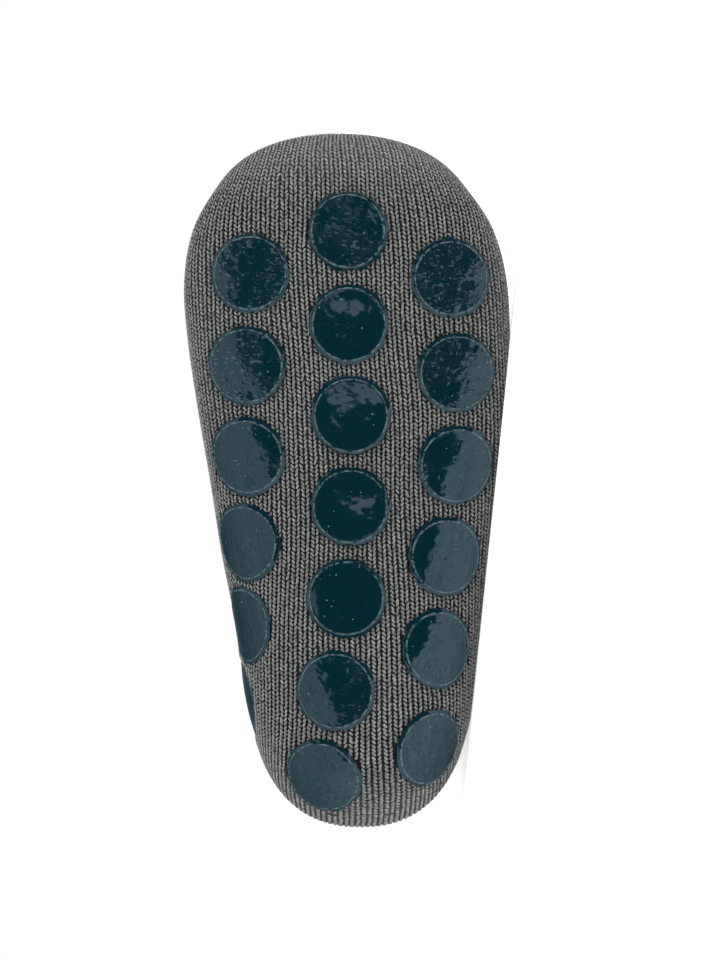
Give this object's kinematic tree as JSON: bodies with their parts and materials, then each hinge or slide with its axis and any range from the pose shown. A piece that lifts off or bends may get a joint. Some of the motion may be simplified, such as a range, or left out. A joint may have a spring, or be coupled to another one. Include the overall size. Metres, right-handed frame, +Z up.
{
  "type": "slipper sock",
  "caption": "Small child's knitted slipper sock with round silicone grip pads on its sole and a ribbed cuff, lying on its side.",
  "frame": {"origin": "middle of the base of the lying sock's bounding box, on the floor it lies on", "axes": "+X from heel to toe, -Y out of the sole, +Y up the leg to the cuff, +Z up; the outer side of the foot is down"},
  "size_m": [0.1442, 0.1068, 0.0687],
  "materials": {
    "grey_knit": "grey marl knit, matt",
    "seam_yarn": "grey linking yarn, matt",
    "petrol_silicone": "glossy dark petrol silicone"
  },
  "bodies": {
    "root": {"knit_sock": "grey_knit", "toe_seam": "seam_yarn", "grip_dot_inner_1": "petrol_silicone", "grip_dot_inner_2": "petrol_silicone", "grip_dot_inner_3": "petrol_silicone", "grip_dot_inner_4": "petrol_silicone", "grip_dot_inner_5": "petrol_silicone", "grip_dot_inner_6": "petrol_silicone", "grip_dot_middle_1": "petrol_silicone", "grip_dot_middle_2": "petrol_silicone", "grip_dot_middle_3": "petrol_silicone", "grip_dot_middle_4": "petrol_silicone", "grip_dot_middle_5": "petrol_silicone", "grip_dot_middle_6": "petrol_silicone", "grip_dot_middle_7": "petrol_silicone", "grip_dot_outer_1": "petrol_silicone", "grip_dot_outer_2": "petrol_silicone", "grip_dot_outer_3": "petrol_silicone", "grip_dot_outer_4": "petrol_silicone", "grip_dot_outer_5": "petrol_silicone", "grip_dot_outer_6": "petrol_silicone"}
  },
  "joints": []
}
